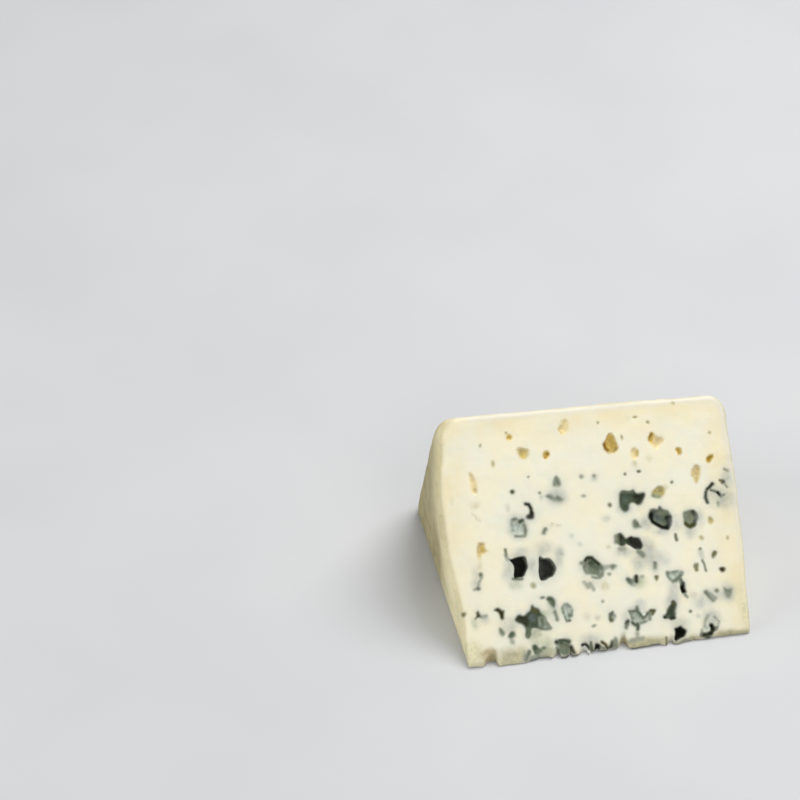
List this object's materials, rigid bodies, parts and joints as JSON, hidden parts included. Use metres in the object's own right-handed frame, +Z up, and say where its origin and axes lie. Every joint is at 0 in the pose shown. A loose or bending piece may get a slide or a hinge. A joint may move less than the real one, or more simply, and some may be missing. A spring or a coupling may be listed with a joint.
{
  "type": "blue cheese wedge",
  "caption": "Wedge of creamy blue cheese cut from a small drum-shaped wheel, lying on a cut face, with mould-lined pockets in its sloping cut face and rind at its back and ends.",
  "frame": {"origin": "middle of the base of the wedge's box, on the surface it lies on", "axes": "+X across the wedge, along the axis of the wheel it was cut from; +Y from the thin tip towards the rind; +Z up"},
  "size_m": [0.1026, 0.0838, 0.0608],
  "materials": {
    "cheese": "moist cream-coloured paste with blue-green mould in open pockets, and a thin beige rind"
  },
  "bodies": {
    "root": {"wedge": "cheese"}
  },
  "joints": []
}
